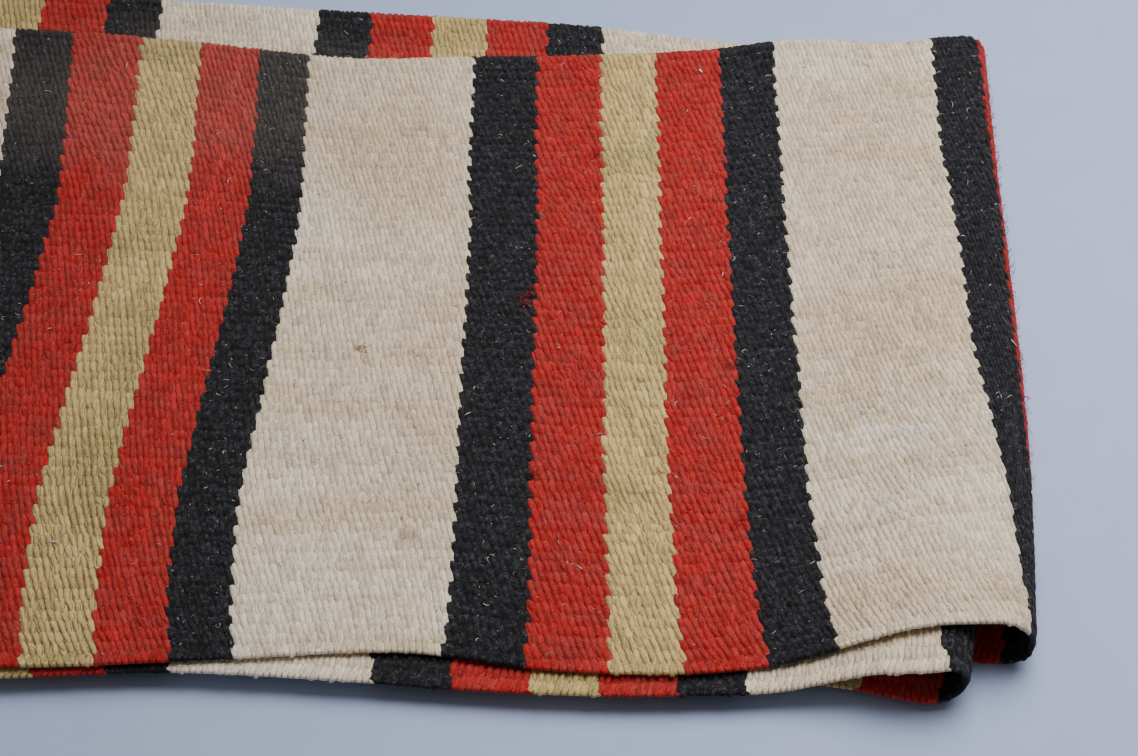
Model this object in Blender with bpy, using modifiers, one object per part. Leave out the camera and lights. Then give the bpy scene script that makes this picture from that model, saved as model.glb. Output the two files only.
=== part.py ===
"""A striped wool saddle blanket, folded in half twice and lying flat.

The blanket is one woven web. It is folded across its stripes, with that fold at the back, and then along its
stripes, with that fold at the right. Four layers lie on each other. The two loops at the right, one inside
the other, stay open to the front.

The front is -Y, the fold along the stripes is at +X, and the underside rests on z = 0. The origin is at the
middle of the bounding box's underside. Sizes are in millimetres up to the last step, which makes them metres.
"""

import bisect
import math
from collections import namedtuple

import bpy

MM = 0.001

# The flat cloth
FLAT_LENGTH = 1524.0
FLAT_WIDTH = 762.0
THICKNESS = 3.0
LAYER_GAP = 0.5

# The heights of the lowest and highest layers' middles where the four lie flat
LAYER_PITCH = THICKNESS + LAYER_GAP
OUTER_BOTTOM_LEVEL = THICKNESS / 2
OUTER_TOP_LEVEL = OUTER_BOTTOM_LEVEL + 3 * LAYER_PITCH

# The back fold is rounder than the layers' gap: how much further apart its two layers are there, and the share
# of the depth over which they close up
BACK_BULGE = 1.5
BACK_BULGE_DEPTH = 0.06

# How far from the inner loop the top layers start to climb over it
CLIMB_LENGTH = 70.0
# The length of the inner layers that small ripples take up
INNER_TAKE_UP = 10.0

# The loops at the right fold. depth is 0 at the back fold and 1 at the front edge. The tips are the x of the
# cloth's middle where each loop turns back, and height is that of the outer loop over all.
Loop = namedtuple("Loop", "depth outer_tip inner_tip height")
LOOPS = (
    Loop(depth=0.00, outer_tip=198.5, inner_tip=193.5, height=19.0),
    Loop(depth=0.25, outer_tip=194.5, inner_tip=187.0, height=19.5),
    Loop(depth=0.50, outer_tip=191.5, inner_tip=180.0, height=21.0),
    Loop(depth=0.75, outer_tip=186.5, inner_tip=168.5, height=24.5),
    Loop(depth=1.00, outer_tip=177.5, inner_tip=150.0, height=28.2),
)

# The edges, at distances to the left of a loop's tip. upper_back and lower_back are the y of the two halves
# of the back fold, and the others are the y of each layer's selvage at the front.
Edge = namedtuple("Edge", "left upper_back lower_back outer_top inner_top inner_bottom outer_bottom")
EDGES = (
    Edge(left=0, upper_back=386, lower_back=386, outer_top=4, inner_top=-14, inner_bottom=-14, outer_bottom=4),
    Edge(left=15, upper_back=386, lower_back=387, outer_top=5, inner_top=-16, inner_bottom=-16, outer_bottom=7),
    Edge(left=40, upper_back=383, lower_back=388, outer_top=4, inner_top=-13, inner_bottom=-10, outer_bottom=9),
    Edge(left=85, upper_back=387, lower_back=391, outer_top=-2, inner_top=-15, inner_bottom=-2, outer_bottom=13),
    Edge(left=130, upper_back=381, lower_back=398, outer_top=-8, inner_top=-16, inner_bottom=5, outer_bottom=19),
    Edge(left=185, upper_back=377, lower_back=409, outer_top=-6, inner_top=-13, inner_bottom=13, outer_bottom=26),
    Edge(left=240, upper_back=375, lower_back=415, outer_top=3, inner_top=-8, inner_bottom=20, outer_bottom=31),
    Edge(left=305, upper_back=374, lower_back=421, outer_top=0, inner_top=-4, inner_bottom=28, outer_bottom=37),
    Edge(left=380, upper_back=387, lower_back=429, outer_top=-4, inner_top=-7, inner_bottom=36, outer_bottom=42),
    Edge(left=475, upper_back=398, lower_back=436, outer_top=-3, inner_top=-6, inner_bottom=42, outer_bottom=46),
    Edge(left=610, upper_back=399, lower_back=441, outer_top=-2, inner_top=-5, inner_bottom=45, outer_bottom=48),
    Edge(left=770, upper_back=397, lower_back=444, outer_top=-1, inner_top=-4, inner_bottom=46, outer_bottom=50),
)

# How many faces each stretch of the cloth has, along its length and across it
Stretch = namedtuple("Stretch", "flat climb turn")
ALONG_FACES = Stretch(flat=24, climb=9, turn=7)
ACROSS_FLAT_FACES = 12
ACROSS_TURN_FACES = 6
# The faces across the cloth crowd towards the back fold by this power
CROWDING = 1.6

WOOL_COLOR = (0.60, 0.50, 0.38, 1.0)
WOOL_ROUGHNESS = 0.95


def curve(table, key, column, where):
    """The height of a smooth curve through a table's rows, held level past its two ends."""
    places = [getattr(row, key) for row in table]
    heights = [getattr(row, column) for row in table]
    last = len(places) - 1
    where = min(max(where, places[0]), places[last])
    left = min(bisect.bisect_right(places, where), last) - 1

    def slope(index):
        before, after = max(index - 1, 0), min(index + 1, last)
        return (heights[after] - heights[before]) / (places[after] - places[before])

    span = places[left + 1] - places[left]
    share = (where - places[left]) / span
    ease = share * share * (3 - 2 * share)
    bend_left = slope(left) * span * share * (1 - share) ** 2
    bend_right = slope(left + 1) * span * share**2 * (1 - share)
    return heights[left] * (1 - ease) + heights[left + 1] * ease + bend_left - bend_right


def loop_at(depth):
    """The loops' sizes at any depth."""
    return Loop(depth, *(curve(LOOPS, "depth", name, depth) for name in Loop._fields[1:]))


def eased(share):
    share = min(max(share, 0.0), 1.0)
    return share * share * (3 - 2 * share)


def bulge(depth):
    """How much the back fold parts its two layers at any depth."""
    return BACK_BULGE * eased(1 - depth / BACK_BULGE_DEPTH)


def top_level(x, loop):
    """The height of the outer top layer's middle, flat at the left and up over the loops at the right."""
    left = loop.outer_tip - x
    behind = curve(EDGES, "left", "lower_back", left) - curve(EDGES, "left", "upper_back", left)
    lower_depth = loop.depth + behind / (FLAT_WIDTH / 2)
    flat = OUTER_TOP_LEVEL + bulge(loop.depth) + bulge(lower_depth)
    crest = loop.height - THICKNESS / 2
    inner_radius = (loop.height - THICKNESS) / 2 - LAYER_PITCH - bulge(loop.depth)
    crest_start = loop.inner_tip - inner_radius
    share = (x - crest_start + CLIMB_LENGTH) / CLIMB_LENGTH
    return flat + (crest - flat) * eased(share)


def on_layer(stretch, share, depth, outer):
    """A point on the middle of the outer or inner cloth.

    stretch is "top", "turn" or "bottom". share runs from the left end to the loop on the top, down around the
    loop on the turn, and from the loop to the left end on the bottom.
    """
    loop = loop_at(depth)
    radius = (loop.height - THICKNESS) / 2
    tip = loop.outer_tip
    run = FLAT_LENGTH / 2
    bottom_level = OUTER_BOTTOM_LEVEL
    lift = 0.0
    names = ("outer_top", "outer_bottom")
    if not outer:
        pitch = LAYER_PITCH + bulge(depth)
        radius -= pitch
        tip = loop.inner_tip
        run -= INNER_TAKE_UP
        bottom_level += pitch
        lift = -pitch
        names = ("inner_top", "inner_bottom")
    run -= radius * math.pi / 2
    middle = tip - radius

    upper = stretch == "top"
    if stretch == "turn":
        angle = math.pi * (0.5 - share)
        x = middle + radius * math.cos(angle)
        z = bottom_level + radius * (1 + math.sin(angle))
        upper = angle > 0
    elif upper:
        x = middle - run * (1 - share)
        z = top_level(x, loop) + lift
    else:
        x = middle - run * share
        z = bottom_level

    left = tip - x
    back = curve(EDGES, "left", "upper_back" if upper else "lower_back", left)
    front = curve(EDGES, "left", names[0] if upper else names[1], left)
    back -= (LAYER_PITCH + BACK_BULGE + THICKNESS) / 2
    return x, back + (front - back) * depth, z


def along_place(share):
    """Turns an even share of the cloth's length into a stretch and a share of it, closer together at the loop."""
    half = ALONG_FACES.flat + ALONG_FACES.climb + ALONG_FACES.turn
    step = share * 2 * half
    mirrored = step > half
    from_end = 2 * half - step if mirrored else step
    climb_share = 1 - CLIMB_LENGTH / (FLAT_LENGTH / 2)
    if from_end <= ALONG_FACES.flat:
        run_share = climb_share * from_end / ALONG_FACES.flat
    else:
        run_share = climb_share + (1 - climb_share) * (from_end - ALONG_FACES.flat) / ALONG_FACES.climb
    if run_share <= 1:
        return ("bottom", 1 - run_share) if mirrored else ("top", run_share)
    turn_share = (step - ALONG_FACES.flat - ALONG_FACES.climb) / (2 * ALONG_FACES.turn)
    return "turn", turn_share


def folded(along, across):
    """Where a point of the flat cloth lies once the cloth is folded. along and across run from 0 to 1."""
    stretch, share = along_place(along)
    steps = 2 * ACROSS_FLAT_FACES + ACROSS_TURN_FACES
    step = across * steps
    if step <= ACROSS_FLAT_FACES:
        return on_layer(stretch, share, (1 - step / ACROSS_FLAT_FACES) ** CROWDING, True)
    if step >= ACROSS_FLAT_FACES + ACROSS_TURN_FACES:
        return on_layer(stretch, share, (1 - (steps - step) / ACROSS_FLAT_FACES) ** CROWDING, False)
    angle = math.pi * (step - ACROSS_FLAT_FACES) / ACROSS_TURN_FACES
    outer = on_layer(stretch, share, 0.0, True)
    inner = on_layer(stretch, share, 0.0, False)
    middle = [(a + b) / 2 for a, b in zip(outer, inner)]
    arm = [(a - b) / 2 for a, b in zip(outer, inner)]
    point = [m + a * math.cos(angle) for m, a in zip(middle, arm)]
    point[1] += (LAYER_PITCH + BACK_BULGE) / 2 * math.sin(angle)
    return tuple(point)


def wool():
    material = bpy.data.materials.new("wool")
    material.use_nodes = True
    shader = material.node_tree.nodes["Principled BSDF"]
    shader.inputs["Base Color"].default_value = WOOL_COLOR
    shader.inputs["Roughness"].default_value = WOOL_ROUGHNESS
    shader.inputs["Metallic"].default_value = 0.0
    return material


def make_blanket():
    """A flat grid folded point by point, with the cloth's thickness from a Solidify modifier."""
    along_faces = 2 * sum(ALONG_FACES)
    across_faces = 2 * ACROSS_FLAT_FACES + ACROSS_TURN_FACES
    bpy.ops.mesh.primitive_grid_add(x_subdivisions=along_faces, y_subdivisions=across_faces, size=1)
    blanket = bpy.context.object
    blanket.name = "blanket"
    mesh = blanket.data
    mesh.name = "blanket"
    for vertex in mesh.vertices:
        x, y, z = folded(vertex.co.x + 0.5, vertex.co.y + 0.5)
        vertex.co = (x * MM, y * MM, z * MM)
    mesh.materials.append(wool())
    mesh.shade_smooth()
    solidify = blanket.modifiers.new("thickness", "SOLIDIFY")
    solidify.thickness = THICKNESS * MM
    solidify.offset = 0
    solidify.use_even_offset = True
    return blanket


def stand_at_origin(piece):
    """Moves a piece so that the middle of its bounding box's underside is at the origin."""
    solid = piece.evaluated_get(bpy.context.evaluated_depsgraph_get())
    corners = [piece.matrix_world @ vertex.co for vertex in solid.data.vertices]
    for axis, share in ((0, 0.5), (1, 0.5), (2, 0.0)):
        low = min(corner[axis] for corner in corners)
        high = max(corner[axis] for corner in corners)
        piece.location[axis] -= low + (high - low) * share


def main():
    for thing in list(bpy.data.objects):
        bpy.data.objects.remove(thing, do_unlink=True)
    blanket = make_blanket()
    stand_at_origin(blanket)
    parts = bpy.data.collections.new("saddle blanket")
    bpy.context.scene.collection.children.link(parts)
    for holder in list(blanket.users_collection):
        holder.objects.unlink(blanket)
    parts.objects.link(blanket)


main()
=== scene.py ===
"""The looks of a folded striped saddle blanket: its weave, its selvages, its fuzz and its stripes.

The cloth's middle surface is worked out as in the part, in millimetres: x runs along the blanket's length,
with x 0 under the camera, y from the front edge to the back, and z up from the floor. A place on the flat
cloth is given by along, from the tip of the lengthwise fold and negative on the top half, and by across,
from the outer front selvage over the back fold to the inner front selvage.
"""

import math
from collections import namedtuple

import bpy
import numpy as np
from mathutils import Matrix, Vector


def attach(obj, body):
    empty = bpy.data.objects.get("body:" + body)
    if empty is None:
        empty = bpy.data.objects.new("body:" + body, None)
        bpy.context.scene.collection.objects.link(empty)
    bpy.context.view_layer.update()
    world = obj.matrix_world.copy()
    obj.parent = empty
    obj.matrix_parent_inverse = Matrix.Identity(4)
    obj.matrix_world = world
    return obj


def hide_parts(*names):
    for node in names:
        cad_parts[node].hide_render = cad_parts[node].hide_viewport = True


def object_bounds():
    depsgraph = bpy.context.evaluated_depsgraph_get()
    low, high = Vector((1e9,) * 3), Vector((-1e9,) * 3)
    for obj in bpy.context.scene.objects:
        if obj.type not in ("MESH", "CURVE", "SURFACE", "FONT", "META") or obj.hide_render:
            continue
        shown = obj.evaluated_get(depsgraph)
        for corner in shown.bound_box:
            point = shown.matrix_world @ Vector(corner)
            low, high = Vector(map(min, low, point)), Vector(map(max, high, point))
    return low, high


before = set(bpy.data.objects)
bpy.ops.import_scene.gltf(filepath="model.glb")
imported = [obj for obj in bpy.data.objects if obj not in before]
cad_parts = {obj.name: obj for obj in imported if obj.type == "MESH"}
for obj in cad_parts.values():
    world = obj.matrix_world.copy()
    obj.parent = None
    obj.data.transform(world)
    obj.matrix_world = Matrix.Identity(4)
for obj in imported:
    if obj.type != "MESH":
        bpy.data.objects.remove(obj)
cad_low, cad_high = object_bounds()

MM = 0.001
# What lies on the floor is pressed flat this far above it
FLOOR_GAP = 0.05
rng = np.random.default_rng(seed=11)

# The cloth, as in the part
FLAT_LENGTH = 1524.0
FLAT_WIDTH = 762.0
THICKNESS = 3.0
LAYER_PITCH = 3.5
OUTER_BOTTOM_LEVEL = THICKNESS / 2
OUTER_TOP_LEVEL = OUTER_BOTTOM_LEVEL + 3 * LAYER_PITCH
BACK_BULGE = 1.5
BACK_BULGE_DEPTH = 0.06
CLIMB_LENGTH = 70.0
INNER_TAKE_UP = 10.0
# How far the flat layers end short of the back fold's outermost line
BACK_INSET = (LAYER_PITCH + BACK_BULGE + THICKNESS) / 2
# How much of the width the turn at the back fold takes, and where it starts
BACK_TURN = 8.0
BACK_TURN_START = (FLAT_WIDTH - BACK_TURN) / 2

# The two loops at the right fold, by depth, which is 0 at the back fold and 1 at the front edge
Loop = namedtuple("Loop", "depth outer_tip inner_tip height")
LOOPS = (
    Loop(depth=0.00, outer_tip=198.5, inner_tip=193.5, height=19.0),
    Loop(depth=0.25, outer_tip=194.5, inner_tip=187.0, height=19.5),
    Loop(depth=0.50, outer_tip=191.5, inner_tip=180.0, height=21.0),
    Loop(depth=0.75, outer_tip=186.5, inner_tip=168.5, height=24.5),
    Loop(depth=1.00, outer_tip=177.5, inner_tip=150.0, height=28.2),
)
# The edges' y, by the distance to the left of a loop's tip, in columns as named here
Edge = namedtuple("Edge", "left upper_back lower_back outer_top inner_top inner_bottom outer_bottom")
EDGES = (
    Edge(0, 386, 386, 4, -14, -14, 4),
    Edge(15, 386, 387, 5, -16, -16, 7),
    Edge(40, 383, 388, 4, -13, -10, 9),
    Edge(85, 387, 391, -2, -15, -2, 13),
    Edge(130, 381, 398, -8, -16, 5, 19),
    Edge(185, 377, 409, -6, -13, 13, 26),
    Edge(240, 375, 415, 3, -8, 20, 31),
    Edge(305, 374, 421, 0, -4, 28, 37),
    Edge(380, 387, 429, -4, -7, 36, 42),
    Edge(475, 398, 436, -3, -6, 42, 46),
    Edge(610, 399, 441, -2, -5, 45, 48),
    Edge(770, 397, 444, -1, -4, 46, 50),
)

# The part stands with the middle of its box at the origin, so its box says where x 0 and y 0 are
PLAN_HIGH_X = LOOPS[0].outer_tip + THICKNESS / 2
PLAN_LOW_Y = min(edge.inner_top for edge in EDGES)
SHIFT = np.array([cad_high.x - PLAN_HIGH_X * MM, cad_low.y - PLAN_LOW_Y * MM, 0.0])

# The stripes, from one white to the next, with how many weft bumps lie side by side in each
Repeat = namedtuple("Repeat", "black_1 red_1 gold red_2 black_2 white")
BUMPS = Repeat(black_1=10, red_1=11, gold=10, red_2=11, black_2=10, white=33)
REPEAT_BUMPS = sum(BUMPS)
# How wide the stripes are in each repeat, along the cloth. The fifth starts at the right edge of the top.
REPEATS = (
    Repeat(black_1=26, red_1=31, gold=27, red_2=31, black_2=26, white=97),
    Repeat(black_1=26, red_1=31, gold=27, red_2=31, black_2=26, white=77),
    Repeat(black_1=27, red_1=30.5, gold=29, red_2=28, black_2=24, white=78),
    Repeat(black_1=29, red_1=31.5, gold=26, red_2=30.5, black_2=26, white=75),
    Repeat(black_1=28, red_1=30, gold=27, red_2=30, black_2=26, white=79),
    Repeat(black_1=26, red_1=31, gold=27, red_2=31, black_2=26, white=79),
    Repeat(black_1=25, red_1=34, gold=27, red_2=31, black_2=26, white=77),
    Repeat(black_1=26, red_1=31, gold=27, red_2=31, black_2=34, white=77),
)
REPEATS_BEFORE_TIP = 4
# Where the black stripe at the tip starts on the outer and on the inner layer's front
OUTER_START = 172.5
INNER_START = 142.8

# How far the stripes are pulled to the right of where even stripes would lie, by depth. The columns from left
# to under belong to the first five of PULL_PLACES, which are x on the top as if unrolled to the right, and
# LOWER_PULL to the last. far_left is added to the left of FAR_LEFT.
Pull = namedtuple("Pull", "depth left middle_left middle_right tip under far_left")
PULL_PLACES = (-150.0, -45.0, 85.0, 172.0, 190.0, 370.0)
LOWER_PULL = -8.5
FAR_LEFT = -200.0
FAR_LEFT_LENGTH = 30.0
PULLS = (
    Pull(0.00, -1.0, 0.0, 0.3, 1.1, -6.0, -4.8),
    Pull(0.22, 2.4, 0.0, 0.2, -1.8, -8.2, -1.8),
    Pull(0.30, 2.6, 1.0, -0.5, -1.0, -8.2, -0.8),
    Pull(0.47, -1.2, 0.7, -0.5, -1.0, -10.8, 0.0),
    Pull(0.57, -4.5, 0.0, -0.5, -1.7, -12.0, 0.0),
    Pull(0.73, -9.5, -0.5, -0.5, 2.1, -13.4, 0.0),
    Pull(0.79, -10.5, -0.5, 0.0, 3.9, -10.0, 0.0),
    Pull(0.93, -8.5, -1.3, 2.2, 3.5, 0.0, 0.0),
    Pull(1.00, -5.0, -3.5, 5.5, 6.5, 0.0, 0.0),
)

# The weave: the warps lie this far apart, and each weft bump spans one and dives between its neighbours
WARP_PITCH = 5.4
# Half the bare sheet's thickness, and how far the bumps' crests stand off the cloth's middle
BASE_HALF = 1.0
CREST = 1.72
WHITE_CREST = 1.52
BUMP_HALF_LENGTH = 0.76 * WARP_PITCH
# Their half width, and how far they lean over their half length, both in counts of bumps
BUMP_HALF_WIDTH = 0.55
BUMP_LEAN = 0.28
PLAIN_LEAN = 0.17
# The usual width of a weft bump, for finding places by count
BUMP_WIDTH = 2.6


def curve(table, key, column, where):
    """The height of a smooth curve through a table's rows, held level past its two ends."""
    places = np.array([getattr(row, key) for row in table], float)
    heights = np.array([getattr(row, column) for row in table], float)
    last = len(places) - 1
    before = np.maximum(np.arange(last + 1) - 1, 0)
    after = np.minimum(np.arange(last + 1) + 1, last)
    slopes = (heights[after] - heights[before]) / (places[after] - places[before])
    where = np.clip(where, places[0], places[last])
    left = np.clip(np.searchsorted(places, where, side="right") - 1, 0, last - 1)
    span = places[left + 1] - places[left]
    share = (where - places[left]) / span
    bends = slopes[left] * span * share * (1 - share) ** 2 - slopes[left + 1] * span * share**2 * (1 - share)
    return heights[left] * (1 - eased(share)) + heights[left + 1] * eased(share) + bends


def eased(share):
    share = np.clip(share, 0.0, 1.0)
    return share * share * (3 - 2 * share)


def bulge(depth):
    """How much the back fold parts its two layers at any depth."""
    return BACK_BULGE * eased(1 - depth / BACK_BULGE_DEPTH)


def loop_sizes(depth, outer):
    """The tip, the radius and the distance under the outer layer, of either loop."""
    outer_tip = curve(LOOPS, "depth", "outer_tip", depth)
    height = curve(LOOPS, "depth", "height", depth)
    pitch = np.where(outer, 0.0, LAYER_PITCH + bulge(depth))
    tip = np.where(outer, outer_tip, curve(LOOPS, "depth", "inner_tip", depth))
    return tip, (height - THICKNESS) / 2 - pitch, pitch


def top_level(x, depth):
    """The height of the outer top layer's middle, flat at the left and up over the loops at the right."""
    left = curve(LOOPS, "depth", "outer_tip", depth) - x
    behind = curve(EDGES, "left", "lower_back", left) - curve(EDGES, "left", "upper_back", left)
    flat = OUTER_TOP_LEVEL + bulge(depth) + bulge(depth + behind / (FLAT_WIDTH / 2))
    crest = curve(LOOPS, "depth", "height", depth) - THICKNESS / 2
    inner_tip, inner_radius, _ = loop_sizes(depth, False)
    share = (x - (inner_tip - inner_radius) + CLIMB_LENGTH) / CLIMB_LENGTH
    return flat + (crest - flat) * eased(share)


# The soft crease at the left, and where it fades in
CREASE_Y = 279.0
CREASE_SLOPE = 0.05
CREASE_HALF_WIDTH = 7.0
CREASE_DEPTH = 0.9
CREASE_START = -95.0
CREASE_FADE = 60.0
# The ripples fade in this far before the loops
RIPPLE_LEAD = 40.0
RIPPLE_FADE = 60.0


def ripple(x, y):
    """Small rises and dips of the top layers, and the soft crease at the left."""
    waves = 0.35 * np.sin(x / 61 + 0.7) * np.sin(y / 83 + 0.4) + 0.22 * np.sin(x / 27 + y / 95)
    waves += 0.15 * np.sin(y / 31 - x / 140 + 1.3)
    from_crease = (y - CREASE_Y - CREASE_SLOPE * x) / CREASE_HALF_WIDTH
    return waves - CREASE_DEPTH * np.exp(-(from_crease**2)) * eased((CREASE_START - x) / CREASE_FADE)


def on_layer(along, depth, outer):
    """Points on the middle of the outer or inner cloth."""
    tip, radius, pitch = loop_sizes(depth, outer)
    along = along * np.where(outer, 1.0, 1 - INNER_TAKE_UP / (FLAT_LENGTH / 2))
    quarter = radius * math.pi / 2
    middle = tip - radius
    level = OUTER_BOTTOM_LEVEL + pitch
    turning = np.abs(along) < quarter
    upper = along < 0
    angle = np.clip(-along / radius, -math.pi / 2, math.pi / 2)
    flat_x = middle - (np.abs(along) - quarter)
    x = np.where(turning, middle + radius * np.cos(angle), flat_x)
    upper_z = top_level(flat_x, depth) - pitch
    z = np.where(turning, level + radius * (1 + np.sin(angle)), np.where(upper, upper_z, level))

    def edge(name):
        return curve(EDGES, "left", name, tip - x)

    back = np.where(upper, edge("upper_back"), edge("lower_back")) - BACK_INSET
    front = np.where(upper, np.where(outer, edge("outer_top"), edge("inner_top")),
                     np.where(outer, edge("outer_bottom"), edge("inner_bottom")))
    y = back + (front - back) * depth
    rippled = eased((RIPPLE_LEAD - along - quarter) / RIPPLE_FADE)
    z = z + np.where(upper & ~turning, ripple(x, y) * rippled, 0.0)
    return np.stack([x, y, z], -1)


def on_top(x, y):
    """The unrolled place, along and across, of a place on the plan of the outer top layer."""
    depth = 0.5
    for _ in range(8):
        tip, radius, _ = loop_sizes(depth, True)
        left = tip - x
        back = curve(EDGES, "left", "upper_back", left) - BACK_INSET
        front = curve(EDGES, "left", "outer_top", left)
        depth = np.clip((y - back) / (front - back), 0, 1)
    return radius - radius * math.pi / 2 - left, (1 - depth) * BACK_TURN_START


def depth_of(across):
    """The depth of a place on the cloth, 0 at the back fold and 1 at the front, and whether it is outer."""
    outer = across < FLAT_WIDTH / 2
    from_front = np.where(outer, across, FLAT_WIDTH - across)
    return np.clip(1 - from_front / BACK_TURN_START, 0, 1), outer


def middle_at(along, across):
    """The folded place of points of the cloth's middle."""
    along, across = np.broadcast_arrays(np.asarray(along, float), np.asarray(across, float))
    depth, outer = depth_of(across)
    points = on_layer(along, depth, outer)
    turned = (across > BACK_TURN_START) & (across < BACK_TURN_START + BACK_TURN)
    if turned.any():
        at_back = np.zeros_like(along[turned])
        top = on_layer(along[turned], at_back, True)
        low = on_layer(along[turned], at_back, False)
        angle = math.pi * (across[turned] - BACK_TURN_START) / BACK_TURN
        bent = (top + low) / 2 + (top - low) / 2 * np.cos(angle)[:, None]
        bent[:, 1] += (LAYER_PITCH + BACK_BULGE) / 2 * np.sin(angle)
        points[turned] = bent
    return points


def directions_at(along, across):
    """The unit vectors along the cloth, across it and out of its outer face."""
    step = 0.4
    a = middle_at(along + step, across) - middle_at(along - step, across)
    c = middle_at(along, across + step) - middle_at(along, across - step)
    n = np.cross(a, c)
    return [v / np.linalg.norm(v, axis=-1, keepdims=True) for v in (a, c, n)]


def laid(along, across, lift):
    """Points that stand off the cloth's middle by lift, towards its outer face."""
    along, across, lift = np.broadcast_arrays(along, across, lift)
    return middle_at(along, across) + directions_at(along, across)[2] * lift[..., None]


def pull_at(place, depth):
    """How far right the stripes are pulled at an unrolled place."""
    columns = [curve(PULLS, "depth", name, depth) for name in Pull._fields[1:-1]]
    columns.append(np.full_like(columns[0], LOWER_PULL))
    total = columns[0]
    for index in range(len(columns) - 1):
        start, end = PULL_PLACES[index], PULL_PLACES[index + 1]
        total = total + (columns[index + 1] - columns[index]) * eased((place - start) / (end - start))
    return total + curve(PULLS, "depth", "far_left", depth) * eased((FAR_LEFT - place) / FAR_LEFT_LENGTH)


BOUNDARIES = np.concatenate([[0.0], np.cumsum([width for repeat in REPEATS for width in repeat])])
BOUNDARIES -= BOUNDARIES[REPEATS_BEFORE_TIP * len(BUMPS)]
BOUNDARY_BUMPS = np.concatenate([[0.0], np.cumsum([count for _ in REPEATS for count in BUMPS])])
BOUNDARY_BUMPS -= REPEATS_BEFORE_TIP * REPEAT_BUMPS
STRIPE_ENDS = np.cumsum(BUMPS)
BLACKS = (Repeat._fields.index("black_1"), Repeat._fields.index("black_2"))
REDS = (Repeat._fields.index("red_1"), Repeat._fields.index("red_2"))
WHITE = Repeat._fields.index("white")
# How far the inner loop's tip lies behind the outer's, at the back and at the front
BACK_GAP = LOOPS[0].outer_tip - LOOPS[0].inner_tip
FRONT_GAP = LOOPS[-1].outer_tip - LOOPS[-1].inner_tip


def bumps_at(along, across):
    """The count of weft bumps from the tip's black stripe to a place on the cloth."""
    along, across = np.broadcast_arrays(np.asarray(along, float), np.asarray(across, float))
    depth, outer = depth_of(across)

    def outer_place(at_depth):
        tip, radius, _ = loop_sizes(at_depth, True)
        place = tip + along + radius * (math.pi / 2 - 1)
        return place - OUTER_START - pull_at(place, at_depth)

    tip, radius, _ = loop_sizes(depth, False)
    inner_along = along * (1 - INNER_TAKE_UP / (FLAT_LENGTH / 2))
    inner_front = tip + inner_along + radius * (math.pi / 2 - 1) - INNER_START
    gap = curve(LOOPS, "depth", "outer_tip", depth) - tip
    share = (gap - BACK_GAP) / (FRONT_GAP - BACK_GAP)
    inner = outer_place(np.zeros_like(depth)) * (1 - share) + inner_front * share
    return np.interp(np.where(outer, outer_place(depth), inner), BOUNDARIES, BOUNDARY_BUMPS)


def stripe_of(bumps):
    """Which of the repeat's stripes each count of bumps falls in."""
    return np.searchsorted(STRIPE_ENDS, np.mod(bumps, REPEAT_BUMPS), side="right")


def to_frame(points):
    """Millimetres in the plan to metres in the part's frame."""
    return points * MM + SHIFT


def new_piece(name, points, faces, uvs=None, colors=None):
    """A mesh object. faces is a list of arrays of corners, and uvs and colors hold a row for each point."""
    mesh = bpy.data.meshes.new(name)
    points = to_frame(points.reshape(-1, 3))
    points[:, 2] = np.maximum(points[:, 2], FLOOR_GAP * MM)
    mesh.vertices.add(len(points))
    mesh.vertices.foreach_set("co", points.astype(np.float32).ravel())
    corners = np.concatenate([f.ravel() for f in faces])
    totals = np.concatenate([np.full(len(f), f.shape[1]) for f in faces])
    mesh.loops.add(len(corners))
    mesh.loops.foreach_set("vertex_index", corners.astype(np.int32))
    mesh.polygons.add(len(totals))
    mesh.polygons.foreach_set("loop_start", (np.cumsum(totals) - totals).astype(np.int32))
    for key, values in (uvs or {}).items():
        layer = mesh.uv_layers.new(name=key)
        layer.data.foreach_set("uv", values.reshape(-1, 2)[corners].astype(np.float32).ravel())
    for key, values in (colors or {}).items():
        attribute = mesh.attributes.new(key, "FLOAT_COLOR", "POINT")
        attribute.data.foreach_set("color", values.reshape(-1, 4).astype(np.float32).ravel())
    mesh.update(calc_edges=True)
    mesh.validate()
    mesh.shade_smooth()
    piece = bpy.data.objects.new(name, mesh)
    bpy.context.scene.collection.objects.link(piece)
    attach(piece, "root")
    return piece


def spaced(*stops):
    """Places from stop to stop, each stretch with its own step: spaced(start, (end, step), ...)."""
    places = [np.array([stops[0]], float)]
    for end, step in stops[1:]:
        start = places[-1][-1]
        count = max(1, round(abs(end - start) / step))
        places.append(np.linspace(start, end, count + 1)[1:])
    return np.concatenate(places)


def rounded_half(from_edge):
    """Half the cloth's thickness near an edge, where it rounds off."""
    share = np.clip(from_edge / BASE_HALF, 0, 1)
    return BASE_HALF * np.sqrt(np.maximum(1 - (1 - share) ** 2, 0.01))


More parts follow.
